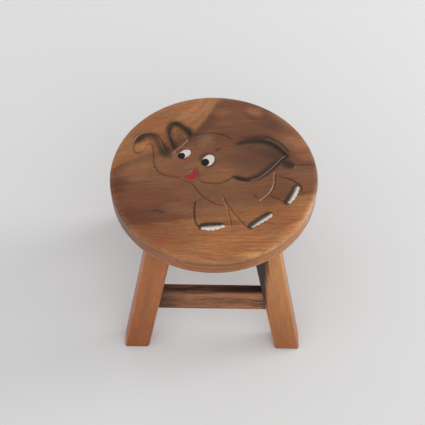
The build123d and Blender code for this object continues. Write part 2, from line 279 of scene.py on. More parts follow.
# Sprayed shading: points in millimetres, each with its half width and its strength.
sprays = {
    "trunk": (
        (-97.6, 46, 2.6, 0.3), (-95, 50.4, 4.4, 0.85), (-91.8, 55, 5, 1),
        (-87, 58.8, 4.6, 0.85), (-81, 60.2, 4.5, 0.75), (-75.4, 58.4, 4.4, 0.66),
        (-71.2, 53.8, 4.2, 0.56), (-68.4, 46.8, 3.8, 0.5), (-65.6, 39.4, 4.4, 0.62),
        (-62.4, 33, 5, 0.72), (-58, 28, 4.8, 0.6), (-54, 25.5, 3.6, 0.35)),
    "right of the trunk": (
        (-64, 49, 1.6, 0.3), (-60.6, 43, 2.4, 0.6), (-57.6, 38, 3, 0.66), (-54.2, 33.5, 2.8, 0.5)),
    "lid of the far eye": ((-45, 32, 1.4, 0.35), (-41.8, 35.4, 1.3, 0.35), (-38, 38, 1, 0.2)),
    "below the far eye": ((-40, 22.4, 1.2, 0.4), (-36, 22.6, 1.6, 0.5), (-32.4, 26, 1.2, 0.25)),
    "lid of the near eye": (
        (-17.2, 20, 1.3, 0.35), (-16.2, 25, 1.8, 0.45), (-12, 29.8, 1.8, 0.42),
        (-6, 31.6, 1.3, 0.3), (0.6, 29, 1.2, 0.25)),
    "below the near eye": (
        (1.8, 24, 1, 0.35), (0.4, 17, 1.2, 0.4), (-4, 11.8, 1.3, 0.45), (-9, 10.4, 1.4, 0.45)),
    "far ear": (
        (-49.4, 37, 2.6, 0.45), (-49, 41.5, 3.4, 0.9), (-50.6, 46, 3.5, 0.92),
        (-53, 51, 3.4, 0.74), (-55.2, 57, 3.5, 0.66), (-56.4, 64, 3.8, 0.7),
        (-56.6, 71, 4, 0.9), (-53.8, 76.3, 4.2, 1), (-49, 78.2, 4.3, 1),
        (-43.5, 75.8, 4, 0.85), (-38, 71.4, 4.3, 0.85), (-33, 66.5, 5.4, 0.98),
        (-31, 61.4, 4.4, 0.9), (-30, 56, 2.6, 0.4)),
    "upper rim of the near ear": (
        (26, 46, 2.8, 0.3), (30.5, 48, 3.2, 0.6), (36, 50.2, 3.5, 0.72), (43, 51.8, 3.8, 0.86),
        (51, 52.2, 3.9, 0.96), (59, 51.6, 3.9, 0.92), (66, 49.2, 4, 0.92), (72, 45.8, 4.1, 0.92),
        (77.5, 41.2, 4, 0.98), (82, 36.4, 3.9, 1), (86.5, 31.6, 3.6, 0.95),
        (89.5, 28, 3, 0.6)),
    "lower rim of the near ear": (
        (86.6, 27.6, 2, 0.6), (79.8, 22.8, 2.6, 0.7), (75.2, 18, 2.9, 0.82),
        (70.4, 12.6, 2.9, 0.85), (65.2, 7.4, 2.9, 0.72), (60, 2.2, 2.9, 0.68),
        (54.6, -2.4, 2.9, 0.78), (49, -5.4, 2.9, 0.9), (43, -7, 2.9, 0.95),
        (36.4, -7.2, 2.9, 0.95), (30.5, -6, 3, 1), (26.5, -4.8, 2.8, 0.95),
        (22.6, -3.8, 2.2, 0.4)),
    # This line is painted shade on the dark wall of the lower rim's cut.
    "shaded side of the lower rim": (
        (88.6, 26, 1.6, 0.6), (82.6, 20.8, 1.8, 0.65), (77.6, 14.6, 1.6, 0.6),
        (72.4, 8.8, 1.5, 0.5), (66, 2.2, 1.4, 0.45), (59.6, -4.2, 1.3, 0.4), (53, -8.8, 1.3, 0.3)),
    "mist above the lower rim": (
        (80, 23, 4, 0.3), (73, 17, 5, 0.4), (67, 11, 5, 0.4), (60, 5, 4.6, 0.35),
        (52, -1, 4, 0.3), (44, -4, 3.2, 0.2)),
    "outside of the near ear": (
        (38, 56, 2.6, 0.25), (50, 57.2, 3, 0.42), (60, 56.6, 3.2, 0.48), (68.6, 54, 3.2, 0.46),
        (76.6, 49.4, 3, 0.44), (83.6, 43, 2.8, 0.4), (88.4, 36, 2.2, 0.3)),
    "inside of the far ear": ((-48, 46, 7, 0.2), (-45, 58, 8, 0.3), (-44, 68, 7, 0.3)),
    "mist under the trunk": ((-86, 52, 5, 0.16), (-77, 52, 6, 0.22), (-73, 44, 5, 0.2)),
    "mist between trunk and ear": (
        (-68, 62, 5, 0.14), (-63, 57, 6, 0.24), (-58, 48, 5, 0.24)),
    "inside of the near ear": (
        (34, 43, 7, 0.12), (52, 43, 9, 0.25), (68, 36, 10, 0.36), (76, 30, 9, 0.36)),
    "stalk of the tail": ((83, 22, 3, 0.6), (86.5, 19.4, 3.6, 0.75), (89, 17, 4, 0.8)),
    "tuft of the tail": (
        (87.5, 15.6, 5, 0.8), (91.4, 15.6, 5.8, 1), (94.6, 15.8, 5.2, 0.92), (97, 16, 3.4, 0.5)),
    "front foot": (
        (-14.6, -80, 1.5, 0.6), (-14.8, -76.8, 2.2, 0.9), (-11.5, -74.4, 2.6, 1),
        (-5, -73.4, 2.4, 1), (2, -72.8, 2.2, 1), (8, -72.6, 1.9, 0.9), (12.5, -72.8, 1.5, 0.5)),
    "front nails": (
        (-12, -76.2, 2, 0.35), (-6, -75.3, 2.3, 0.4), (1, -74.6, 2.3, 0.4), (8, -74.2, 1.9, 0.3)),
    "middle nails": (
        (45.2, -73.6, 2, 0.35), (50.6, -69.2, 2.2, 0.38), (56.6, -64.7, 2.2, 0.38),
        (62.6, -60.4, 2, 0.32), (65.6, -58.2, 1.6, 0.25)),
    "rear nails": (
        (99, -16.8, 1.8, 0.2), (96.6, -20.4, 2.1, 0.3), (93.8, -26.2, 2.1, 0.3),
        (90.8, -32.4, 2.1, 0.3), (87.8, -38.2, 1.8, 0.2)),
    "middle foot": (
        (44.6, -78.6, 1.5, 0.6), (42.2, -76, 2.4, 0.95), (44.6, -72.5, 2.6, 1),
        (49.4, -68.2, 2.3, 1), (54.4, -63.9, 2.2, 1), (59.8, -59.9, 2.2, 0.95),
        (64.6, -56.9, 2, 0.9), (67.5, -55.8, 1.6, 0.5)),
    "rear foot": (
        (99.3, -14.6, 2, 0.5), (95.8, -19, 2.3, 0.7), (93.3, -25, 2.4, 0.85),
        (90.3, -31, 2.5, 0.95), (87.2, -36.5, 2.8, 1), (84.6, -40.5, 3, 0.95),
        (87, -43.6, 1.8, 0.5)),
}

# Eyes: middle, long and short half axes and turn of the white, then the same for the pupil.
eyes = (
    ((-36, 30.2), 8.5, 5.6, 42, (-40, 27.2), 4.9, 4.6, 60),
    ((-6.8, 20.7), 9.5, 6.8, 62, (-10.9, 17.5), 5.9, 5.1, 75),
)
mouth = ((-38, -4.8), (-34.6, -7.2), (-30, -9.2), (-25, -9.2), (-21.2, -6.8), (-19.5, -2.6),
         (-19.6, 2.4), (-20.9, 6.4), (-23.4, 8), (-25.8, 5.6), (-28, 1.6), (-31.2, -1.2),
         (-35, -2.9))

# Toenails: a row of small painted ovals between two points, the curve of the row, and the half
# length of each.
nail_rows = (
    ((-13.4, -78.3), (12.8, -75.2), -1.1, (2.9, 3.9, 4.1, 3.4, 2.3)),
    ((43.8, -75.6), (67.6, -58.6), 0.5, (3, 3.7, 3.9, 3.8, 3.1)),
    ((99.8, -17.6), (88.4, -40.6), 1, (3, 3.7, 3.9, 3.8, 3)),
)


def smooth_line(points, step):
    """Even points, about step apart, on a smooth curve through the given ones: a Catmull-Rom cubic
    between each two of them, measured along its length. Further columns are carried along."""
    given = np.array(points, float)
    padded = np.vstack((2 * given[0] - given[1], given, 2 * given[-1] - given[-2]))
    t = np.linspace(0, 1, curve_steps, endpoint=False)[None, :, None]
    p0, p1, p2, p3 = (padded[k : len(padded) - 3 + k, None, :] for k in range(4))
    cubic = 0.5 * (
        2 * p1 + (p2 - p0) * t + (2 * p0 - 5 * p1 + 4 * p2 - p3) * t**2
        + (3 * p1 - p0 - 3 * p2 + p3) * t**3
    )
    dense = np.vstack((cubic.reshape(-1, given.shape[1]), given[-1]))
    length = np.concatenate(((0,), np.cumsum(np.hypot(*np.diff(dense[:, :2], axis=0).T))))
    even = np.linspace(0, length[-1], max(2, round(length[-1] / step)) + 1)
    return np.stack([np.interp(even, length, column) for column in dense.T], axis=1)


def nearest_on_line(xy, line):
    """Distance from each point to a line of short straight pieces, the place of the nearest point
    along it, counted in pieces, and the way from it. Each point is dropped onto every piece and
    the least distance is kept."""
    distance = np.full(len(xy), np.inf)
    place = np.zeros(len(xy))
    away = np.zeros((len(xy), 2))
    for k, (start, end) in enumerate(zip(line[:-1, :2], line[1:, :2])):
        run = end - start
        share = np.clip(((xy - start) @ run) / (run @ run), 0, 1)
        offset = xy - start - share[:, None] * run
        gap = np.hypot(*offset.T)
        closer = gap < distance
        distance[closer] = gap[closer]
        place[closer] = k + share[closer]
        away[closer] = offset[closer]
    return distance, place, away


def oval_reach(xy, middle, long_axis, short_axis, turn):
    """Millimetres inside an oval, about: its short half axis times one minus the oval radius."""
    a = radians(turn)
    dx, dy = (xy - np.array(middle)).T
    along, across = dx * cos(a) + dy * sin(a), dy * cos(a) - dx * sin(a)
    return short_axis * (1 - np.hypot(along / long_axis, across / short_axis))


def inside(xy, outline):
    """True where a ray to the right crosses the closed outline an odd number of times."""
    crossings = np.zeros(len(xy), int)
    for (x0, y0), (x1, y1) in zip(outline, np.roll(outline, -1, axis=0)):
        spans = (y0 > xy[:, 1]) != (y1 > xy[:, 1])
        reach = x0 + (xy[:, 1] - y0) * (x1 - x0) / (y1 - y0 if y1 != y0 else 1e-9)
        crossings += spans & (xy[:, 0] < reach)
    return crossings % 2 == 1


cut_lines = [smooth_line(points, cut_step) for points, *size in cuts.values()]
cut_sizes = [size for points, *size in cuts.values()]
mouth_line = smooth_line((*mouth, mouth[0]), mouth_step)


def mouth_reach(xy):
    """Millimetres inside the mouth's outline, negative outside it."""
    gap = nearest_on_line(xy, mouth_line)[0]
    return np.where(inside(xy, mouth_line[:-1, :2]), gap, -gap)


nails = []
for start, end, bow, half_lengths in nail_rows:
    start, end, count = np.array(start), np.array(end), len(half_lengths)
    run = end - start
    side = np.array((-run[1], run[0])) / np.hypot(*run)
    turn = np.degrees(np.arctan2(side[1], side[0]))
    for k, half_length in enumerate(half_lengths):
        share = (k + 0.5) / count
        middle = start + share * run + side * bow * 4 * share * (1 - share)
        nails.append((middle, half_length, nail_fullness * np.hypot(*run) / count, turn))


def sprayed(xy):
    """How much dark spray lies at each point: strength times exp(-(distance / half width)^2.2) of
    each sprayed line, laid over one another."""
    clear = np.ones(len(xy))
    for points in sprays.values():
        line = smooth_line(points, spray_step)
        distance, place, away = nearest_on_line(xy, line)
        half_width = np.interp(place, np.arange(len(line)), line[:, 2])
        strength = np.interp(place, np.arange(len(line)), line[:, 3])
        clear *= 1 - strength * np.exp(-((distance / half_width) ** 2.2))
    return 1 - clear


def carving(xy):
    """Depth of the carving and the paint on it, at points of the seat's top.

    Each gouge cut is a V with eased shoulders, 1 - t in its middle and (1.2 - t)^2 / 0.8 outside
    t = 0.8, where t is the distance over half the width, in a faint hollow of a tenth of its depth,
    exp(-(distance / 1.5 widths)^2). Eyes and nails are shallow hollows with a dome in them, and the
    mouth is a spoon cut.
    """
    floor_depth = np.zeros(len(xy))
    cut_shading = np.zeros(len(xy))
    gloss = np.zeros(len(xy))
    for line, (width, depth, stain, *bare) in zip(cut_lines, cut_sizes):
        distance, place, away = nearest_on_line(xy, line)
        from_end = np.minimum(place, len(line) - 1 - place) * cut_step
        run_out = np.interp(from_end, (0, run_out_length), (run_out_least, 1))
        t = distance / (0.5 * width * run_out)
        v = np.where(t < 0.8, 1 - t, np.clip(1.2 - t, 0, None) ** 2 / 0.8)
        lead_in = lead_in_depth * np.exp(-((distance / (1.5 * width)) ** 2))
        floor_depth = np.maximum(floor_depth, depth * run_out * (v + lead_in))
        # Painted shade darkens each cut. Where a wall's direction is listed, that wall is painted
        # light instead and the other wall gets painted shade.
        within = np.clip((shade_end - t) / shade_fade, 0, 1)
        own_shading = stain * run_out * within
        for turn in bare:
            toward = np.array((cos(radians(turn)), sin(radians(turn))))
            toward_light = np.clip(away @ toward / (wall_turn * width), -1, 1)
            own_shading *= -np.where(toward_light > 0, toward_light, shaded_wall * toward_light)
        cut_shading = np.where(np.abs(own_shading) > np.abs(cut_shading), own_shading, cut_shading)
        gloss = np.maximum(gloss, within)
    whites = np.full(len(xy), not_painted)
    blacks = np.full(len(xy), not_painted)
    hollow = np.zeros(len(xy))
    for middle, long_axis, short_axis, turn, *pupil in eyes:
        reach = oval_reach(xy, middle, long_axis, short_axis, turn)
        dome = eye_edge - eye_dome * np.sqrt(np.clip(reach / short_axis, 0, 1))
        hollow = np.maximum(hollow, dome * np.clip((reach + eye_lip) / eye_lip, 0, 1))
        whites = np.maximum(whites, reach)
        blacks = np.maximum(blacks, oval_reach(xy, *pupil))
    for middle, long_axis, short_axis, turn in nails:
        reach = oval_reach(xy, middle, long_axis, short_axis, turn)
        dome = nail_edge - nail_dome * np.sqrt(np.clip(reach / short_axis, 0, 1))
        hollow = np.where(reach > 0, np.where(hollow > 0, np.minimum(hollow, dome), dome), hollow)
        whites = np.maximum(whites, reach)
    reds = mouth_reach(xy)
    spoon = mouth_edge + mouth_spoon * np.clip(reds / mouth_slope, 0, 1) ** 0.7
    hollow = np.maximum(hollow, spoon * np.clip((reds + mouth_lip) / mouth_lip, 0, 1))
    painted = np.maximum(np.maximum(whites, blacks), reds) > 0
    depth = np.where(painted, hollow, np.maximum(floor_depth, hollow))
    # The spray is thinned on the walls that are painted light.
    spray = sprayed(xy) * (1 - np.clip(-spray_loss * cut_shading, 0, most_lost))
    return {
        "depth": depth, "cut": gloss, "stain": cut_shading, "spray": spray,
        "white": whites, "black": blacks, "red": reds,
    }


def hexagons(pitch):
    """Points of an even triangular lattice over the seat's top, pitch apart. Its rows are closer,
    by the height of an even triangle."""
    rows = np.arange(-seat_radius, seat_radius, pitch * 0.866)
    columns = np.arange(-seat_radius, seat_radius, pitch)
    x = columns[None, :] + 0.5 * pitch * (np.arange(len(rows))[:, None] % 2)
    return np.stack((x.ravel(), np.repeat(rows, len(columns))), axis=1)


def distance_to_cuts(xy):
    """Distance to the nearest gouge cut's middle, less half that cut's width."""
    gaps = [
        nearest_on_line(xy, line)[0] - 0.5 * width
        for line, (width, *_) in zip(cut_lines, cut_sizes)
    ]
    return np.min(gaps, axis=0)


def distance_to_paint(xy):
    """Millimetres outside the nearest painted oval or the mouth."""
    ovals = [eye[:4] for eye in eyes] + nails
    return -np.max([*(oval_reach(xy, *oval) for oval in ovals), mouth_reach(xy)], axis=0)


def near_and_clear(xy, near_cut, near_paint, least_spray):
    """Where a point is near the carving or its shading, and where it keeps clear of both cuts and
    paint, which have closer points of their own."""
    gap, paint_gap = distance_to_cuts(xy), distance_to_paint(xy)
    near = (gap < near_cut) | (paint_gap < near_paint) | (sprayed(xy) > least_spray)
    return near, (gap > cut_clearance) & (paint_gap > paint_clearance)


# Points of the top: ribs across each cut, a fine lattice in the paint, a closer one near the
# carving and a wide one elsewhere.
flat_radius = seat_radius - edge_radius
rib_places = np.array((-1.3, -1.0, -0.67, -0.33, 0, 0.33, 0.67, 1.0, 1.3))  # in half widths
fine_pitch, middle_pitch, wide_pitch = 0.5, 1.2, 3.2
paint_margin = 0.7
cut_clearance, paint_clearance, rim_clearance = 0.8, 1.2, 1.0
rib_slack = 0.02  # a rib's point is dropped where another cut is nearer by more than this
flat_border = 0.5
same_point = 1e-5
ribs = []
for line, (width, *_) in zip(cut_lines, cut_sizes):
    run = np.gradient(line[:, :2], axis=0)
    run /= np.hypot(*run.T)[:, None]
    side = np.stack((-run[:, 1], run[:, 0]), axis=1)
    offsets = 0.5 * width * rib_places
    rib = (line[:, None, :2] + side[:, None, :] * offsets[None, :, None]).reshape(-1, 2)
    own = np.tile(np.abs(offsets) - 0.5 * width, len(line))
    gap = distance_to_cuts(rib)
    ribs.append(rib[(gap > own - rib_slack) & (distance_to_paint(rib) > paint_margin)])

fine = hexagons(fine_pitch)
fine = fine[distance_to_paint(fine) < paint_margin]
closer, wide = hexagons(middle_pitch), hexagons(wide_pitch)
near, clear = near_and_clear(closer, 5.0, 3.0, 0.01)
near_wide, _ = near_and_clear(wide, 5.5, 3.5, 0.008)
scatter = np.vstack((*ribs, fine, closer[near & clear], wide[~near_wide]))
scatter = scatter[np.hypot(*scatter.T) < flat_radius - rim_clearance]

around = np.linspace(0, 2 * pi, rim_points, endpoint=False)
rim = flat_radius * np.stack((np.cos(around), np.sin(around)), axis=1)
top_points = np.vstack((rim, scatter))
rim_edges = [(k, (k + 1) % rim_points) for k in range(rim_points)]
found, _, top_faces, *_ = delaunay_2d_cdt(
    [Vector(point) for point in top_points.tolist()], rim_edges, [], 1, same_point
)
top_xy = np.array([tuple(point) for point in found])
layers = carving(top_xy)
layers["depth"][np.hypot(*top_xy.T) > flat_radius - flat_border] = 0

# The edge and the underside: a profile of radius and height, turned through the rim's points. Its
# first ring is the rim of the top.
side_heights = (232, 227.5, 223)
underside_radii = (112, 90, 66, 42, 20)
bend = np.linspace(0, pi / 2, 9)
profile = [
    (flat_radius + edge_radius * sin(a), seat_top - edge_radius * (1 - cos(a))) for a in bend[1:]
]
profile += [(seat_radius, z) for z in side_heights]
profile += [
    (flat_radius + edge_radius * cos(a), seat_bottom + edge_radius * (1 - sin(a))) for a in bend
]
profile += [(r, seat_bottom) for r in underside_radii]
radius, height = np.array(profile).T
rings = np.stack((
    np.outer(radius, np.cos(around)),
    np.outer(radius, np.sin(around)),
    np.repeat(height[:, None], rim_points, axis=1),
), axis=2).reshape(-1, 3)
ring_start = len(top_xy)
first = np.array([int(np.argmin(np.hypot(*(top_xy - point).T))) for point in rim])
ring_index = np.vstack(
    (first[None, :], ring_start + np.arange(len(rings)).reshape(len(profile), rim_points))
)
following = np.roll(ring_index, -1, axis=1)
side_faces = np.stack(
    (ring_index[:-1], ring_index[1:], following[1:], following[:-1]), axis=2
).reshape(-1, 4)
centre = ring_start + len(rings)
hub = np.stack((ring_index[-1], np.full(rim_points, centre), following[-1]), axis=1)

carved_top = np.column_stack((top_xy, seat_top - layers["depth"]))
vertices = np.vstack((carved_top, rings, ((0, 0, seat_bottom),)))

# Pale edge wear and a painted highlight: 1 on the rounded top edge, falling to 0 over
# pale_edge_reach on the top and over pale_edge_height down the side, and strongest about one place
# of the rim, where the highlight is painted, exp(-(angle / highlight_width)^2).
pale_edge_reach, pale_edge_height = 5.0, 22.0
highlight_azimuth, highlight_width = -22, 11  # at the front right, in degrees from +X
wear_off_highlight = 0.20
from_rim = np.hypot(*vertices[:, :2].T) - flat_radius
azimuth = np.degrees(np.arctan2(vertices[:, 1], vertices[:, 0]))
turned = (azimuth - highlight_azimuth + 180) % 360 - 180
worn = np.clip(1 + from_rim / pale_edge_reach, 0, 1) ** 2
worn *= np.clip((vertices[:, 2] - seat_bottom) / pale_edge_height, 0, 1) ** 3
worn *= wear_off_highlight + (1 - wear_off_highlight) * np.exp(-((turned / highlight_width) ** 2))

# Each layer of the carving is kept as an attribute of the mesh. Off the top it is bare wood.
layer_names = ("cut", "stain", "spray", "white", "black", "red", "worn")
paint_layers = ("white", "black", "red")
seat_mesh = bpy.data.meshes.new("carved_seat")
seat_mesh.from_pydata(
    (vertices * MM).tolist(), [], [*top_faces, *side_faces.tolist(), *hub.tolist()]
)
for name in layer_names:
    values = worn
    if name != "worn":
        values = np.full(len(vertices), not_painted if name in paint_layers else 0.0)
        values[: len(top_xy)] = layers[name]
    layer = seat_mesh.attributes.new(name, "FLOAT", "POINT")
    layer.data.foreach_set("value", values.astype(np.float32))
seat_mesh.shade_smooth()
seat_mesh.set_sharp_from_angle(angle=radians(40))
carved_seat = added("carved_seat", seat_mesh)


def times(tree, value, factor, clamp=True):
    """value times factor, kept between 0 and 1 unless clamp is off."""
    return maths(tree, "MULTIPLY", value, factor, clamp)


def vectors(tree, operation, first, second):
    """One step of arithmetic on two vectors."""
    return put(tree, "VectorMath", {0: first, 1: second}, operation=operation)


def scaled(tree, colour, factor):
    """A colour made lighter or darker by a factor."""
    return put(tree, "VectorMath", {0: colour, "Scale": factor}, operation="SCALE")


def blend(tree, factor, first, second, mode="MIX"):
    """Mix two colours by a factor."""
    wires = {0: factor, 6: first, 7: second}
    return put(tree, "Mix", wires, 2, data_type="RGBA", blend_type=mode)


def sums(tree, start, *terms):
    """start plus each (value, factor) term: a chain of multiply-add nodes."""
    total = start
    for value, factor in terms:
        total = put(tree, "Math", {0: value, 1: factor, 2: total}, operation="MULTIPLY_ADD")
    return total


def grained(tree, figure, start, **shares):
    """start plus a share of each named part of the wood's figure."""
    return sums(tree, start, *((figure[part], share) for part, share in shares.items()))


def ramp(tree, value, low, high):
    """0 below low, 1 above high, and a smooth step between."""
    wires = {"Value": value, "From Min": low, "From Max": high}
    return put(tree, "MapRange", wires, interpolation_type="SMOOTHSTEP")


def streaks(tree, place, scale, detail=2.0, roughness=0.5):
    """Noise drawn out along the grain: scale is how often it changes per metre, each way."""
    place = vectors(tree, "MULTIPLY", place, scale)
    wires = {"Vector": place, "Scale": 1.0, "Detail": detail, "Roughness": roughness}
    return put(tree, "TexNoise", wires)


def grain_space(tree, turn=(0, 0, 0), shift=(0, 0, 0)):
    """Object coordinates, turned so that the grain of the piece runs along X, and shifted."""
    world = put(tree, "TexCoord", {}, "Object")
    return put(tree, "Mapping", {"Vector": world, "Location": shift, "Rotation": turn})


ring_taper = 0.03  # how fast the rings close in along the grain


def timber(
    tree, place, waviness=0.010, wander_rate=(5, 16, 16), ring_width=0.0042, pith=(0.05, -0.2),
    fibre_place=None,
):
    """The figure of wood whose grain runs along X.

    Rings are a one-way noise of the distance from the pith, a line along the grain that wanders.
    Bands, streaks and fibres are finer and finer noises drawn out along the grain, mottle is the
    cloudy light and dark of the board, and pores are the sparse peaks of a fine noise.
    """
    wander = vectors(tree, "MULTIPLY", place, wander_rate)
    wander = put(tree, "TexNoise", {"Vector": wander, "Scale": 1.0, "Detail": 2.0}, "Color")
    wander = vectors(tree, "SUBTRACT", wander, (0.5, 0.5, 0.5))
    wander = vectors(tree, "MULTIPLY", wander, (0, 2 * waviness, 2 * waviness))
    bent = vectors(tree, "ADD", place, wander)
    fine = vectors(tree, "ADD", fibre_place, wander) if fibre_place else bent
    from_pith = vectors(tree, "SUBTRACT", bent, (0, *pith))
    from_pith = vectors(tree, "MULTIPLY", from_pith, (ring_taper, 1, 1))
    distance = put(tree, "VectorMath", {0: from_pith}, "Value", operation="LENGTH")
    rings = {"W": distance, "Scale": 1 / ring_width, "Detail": 2.0}
    rings = put(tree, "TexNoise", rings, noise_dimensions="1D")
    return {
        "bent": bent,
        "rings": ramp(tree, rings, 0.25, 0.75),
        "bands": ramp(tree, streaks(tree, bent, (8, 75, 75), 3.0), 0.3, 0.7),
        "mottle": ramp(tree, streaks(tree, fine, (30, 55, 55), 2.0), 0.3, 0.7),
        "streaks": ramp(tree, streaks(tree, fine, (22, 320, 320), 3.0, 0.6), 0.3, 0.7),
        "fibres": ramp(tree, streaks(tree, fine, (50, 900, 900), 3.0, 0.6), 0.25, 0.75),
        "pores": ramp(tree, streaks(tree, fine, (110, 2100, 2100), 1.0), 0.60, 0.72),
    }


def mottled(tree, figure, colour, reddish):
    """The colour times a reddish one where the board is mottled."""
    reddened = blend(tree, 1.0, colour, reddish, "MULTIPLY")
    return blend(tree, figure["mottle"], colour, reddened)


def lacquered(tree, surface, figure, colour, roughness=0.30, relief=0.00012, specular=0.35):
    """Satin lacquer over wood: pores stay a little open and dull."""
    dullness = grained(tree, figure, roughness, pores=0.2, fibres=0.08)
    height = grained(tree, figure, 0.0, pores=-1.0, fibres=0.5)
    bump = put(tree, "Bump", {"Strength": 0.5, "Distance": relief, "Height": height})
    coat = {"Roughness": dullness, "Specular IOR Level": specular, "Normal": bump}
    shade = put(tree, "BsdfPrincipled", {"Base Color": colour, **coat})
    tree.links.new(shade, surface)
    return shade.node


def edge_line(tree, x, points):
    """Height in Y, in metres, of a line drawn over the seat through points in millimetres."""
    half = seat_radius * MM
    share = put(tree, "MapRange", {"Value": x, "From Min": -half, "From Max": half})
    curve = tree.nodes.new("ShaderNodeFloatCurve")
    tree.links.new(share, curve.inputs["Value"])
    line = curve.mapping.curves[0]
    spots = [(0.5 + px / (2 * seat_radius), 0.5 + py / (2 * seat_radius)) for px, py in points]
    line.points[0].location, line.points[1].location = spots[0], spots[-1]
    for spot in spots[1:-1]:
        line.points.new(*spot)
    curve.mapping.update()
    return put(tree, "MapRange", {"Value": curve.outputs[0], "To Min": -half, "To Max": half})


patch_depth = 0.2  # its half axis through the board, in metres
patch_gain = 1.6  # makes a patch's middle full and its edge steeper


def patch(tree, place, middle, half_axes, turn=0):
    """A soft oval through the board: 1 in its middle, falling to 0 at its edge."""
    local = put(
        tree, "Mapping",
        {"Vector": place, "Location": (middle[0] * MM, middle[1] * MM, seat_top * MM),
         "Rotation": (0, 0, radians(turn)),
         "Scale": (half_axes[0] * MM, half_axes[1] * MM, patch_depth)},
        vector_type="TEXTURE",
    )
    return put(tree, "TexGradient", {"Vector": local}, 1, gradient_type="SPHERICAL")


def tinted(tree, place, base, spots):
    """A base colour with soft ovals of other tints: each one's middle, half axes, turn, screen
    colour and strength."""
    colour = base
    for middle, half_axes, turn, tint, strength in spots:
        spot = times(tree, patch(tree, place, middle, half_axes, turn), patch_gain)
        colour = blend(tree, times(tree, spot, strength), colour, paint(*tint))
    return colour


# The two lines that the growth bands follow: the edge of the sapwood at the back left, and the
# edge of the paler wood along the front. Between them the bands fan out.
sapwood_edge = ((-125, 5), (-106, 20), (-86, 29), (-60, 42), (-40, 57), (-23, 72), (-13, 87),
                (-4, 104), (7, 122), (125, 125))
front_edge = ((-125, -82), (-98, -79), (-70, -76), (-45, -73), (-30, -69), (-10, -64), (10, -58),
              (30, -54), (50, -50), (75, -42), (100, -34), (125, -28))
fan_width = 0.110
fan_share = 0.3  # how far the fine fibres follow the fan
sapwood_fade = (-0.003, 0.005)
front_start = 0.014
front_fade = (-0.008, 0.012)

heartwood = paint(106, 68, 44)
heart_tints = (
    ((-20, -10), (120, 62), 6, (124, 82, 52), 0.9),
    ((10, 100), (70, 26), 0, (122, 78, 52), 0.8),
    ((-12, 78), (16, 40), -28, (100, 62, 42), 0.8),
    ((-66, 14), (64, 24), 22, (130, 88, 58), 0.8),
    ((8, 4), (48, 24), 0, (142, 95, 60), 0.6),
    ((-95, -50), (70, 40), 0, (111, 67, 42), 0.9),
    ((-92, -64), (46, 18), 0, (98, 54, 34), 0.8),
    ((-50, -62), (44, 9), 0, (106, 66, 42), 0.7),
    ((56, 26), (44, 30), 18, (100, 64, 44), 0.9),
    ((100, 66), (56, 30), -58, (143, 97, 64), 1),
    ((112, -4), (34, 26), 0, (128, 82, 54), 0.8),
    ((20, -52), (64, 11), 9, (136, 92, 58), 0.9),
    ((-40, -52), (26, 12), 0, (132, 90, 62), 0.8),
    ((-116, -20), (20, 20), 0, (92, 50, 28), 0.9),
    ((66, 84), (40, 15), -32, (90, 56, 38), 0.9),
    ((112, 40), (20, 18), -62, (154, 102, 66), 0.9),
    ((-92, 10), (20, 26), 0, (142, 96, 62), 0.6),
    ((-84, -40), (26, 14), 0, (122, 76, 48), 0.5),
    ((-10, 50), (13, 20), 0, (138, 100, 66), 0.5),
    ((6, 100), (18, 9), 0, (142, 98, 64), 0.6),
    ((50, 100), (15, 9), -25, (148, 102, 66), 0.8),
    ((66, 42), (24, 10), -15, (130, 88, 60), 0.6),
    ((92, 20), (12, 8), 0, (104, 70, 48), 0.6),
    ((32, 0), (12, 8), 0, (104, 76, 54), 0.6),
    ((112, 15.5), (26, 2.6), 2, (78, 46, 32), 1),
    ((4.6, 37.7), (5.5, 2.6), 35, (78, 44, 34), 0.9),
    ((-66, -57), (7, 2.2), 0, (66, 40, 34), 0.9),
    ((-59, -58.5), (5, 1.8), 10, (66, 40, 34), 0.7),
)
sapwood = paint(152, 102, 62)
sapwood_tints = (
    ((-28, 106), (44, 22), 20, (166, 114, 74), 0.9),
    ((-112, 12), (30, 12), 30, (164, 108, 60), 0.9),
    ((-84, 40), (14, 9), 20, (170, 112, 66), 0.8),
    ((-78, 84), (44, 22), 42, (151, 100, 63), 0.7),
    ((-30, 90), (15, 9), 20, (168, 116, 78), 0.6),
)
front_wood = paint(154, 102, 62)
front_tints = (
    ((-84, -86), (66, 24), -12, (138, 84, 48), 0.9),
    ((-30, -92), (60, 12), 0, (146, 92, 54), 0.6),
    ((4, -66), (30, 9), 6, (160, 106, 60), 0.8),
    ((112, -42), (30, 20), 30, (168, 116, 70), 1),
    ((78, -66), (36, 22), 20, (148, 92, 54), 0.8),
    ((98, -76), (52, 12), 46, (184, 132, 84), 0.8),
    ((60, -108), (44, 9), 14, (182, 130, 76), 0.7),
    ((12, -92), (34, 14), 0, (158, 110, 64), 0.7),
    ((58, -76), (26, 12), 20, (137, 93, 57), 0.8),
    ((-29, -69), (14, 8), 0, (166, 117, 75), 0.8),
    ((-10, -59), (12, 7), 0, (126, 82, 44), 0.8),
)
vein = paint(62, 30, 18)
# Painted shade in the cuts, and painted light on their lit walls, bare and under spray.
cut_shade_colour = paint(56, 27, 17)
lit_wall_colour = paint(174, 136, 110)
sprayed_lit_wall_colour = paint(118, 108, 96)
# Pale edge wear and a painted highlight on the rounded rim.
wear_and_highlight_colour = paint(222, 190, 154)
spray_black = paint(44, 29, 15)
enamel_white = paint(208, 201, 192)
enamel_black = paint(10, 1, 1)
enamel_red = paint(162, 14, 25)
mouth_edge_red = paint(124, 56, 42)
redder = (1.10, 0.94, 0.84, 1)
side_grain_and_shade = (0.90, 0.80, 0.64, 1)  # painted shade with some darker end grain: times the wood's colour on the side of the board
side_grain_and_shade_levels = (0.2385, 0.2345)  # it comes in between these heights
spray_cover = 0.96
white_fade, black_fade, red_fade = (0, 0.15), (0, 0.12), (0, 0.6)  # in from the paint's edge
bright_red = (0.8, 3.6)  # the darker red at the mouth's edge gives way to the bright one
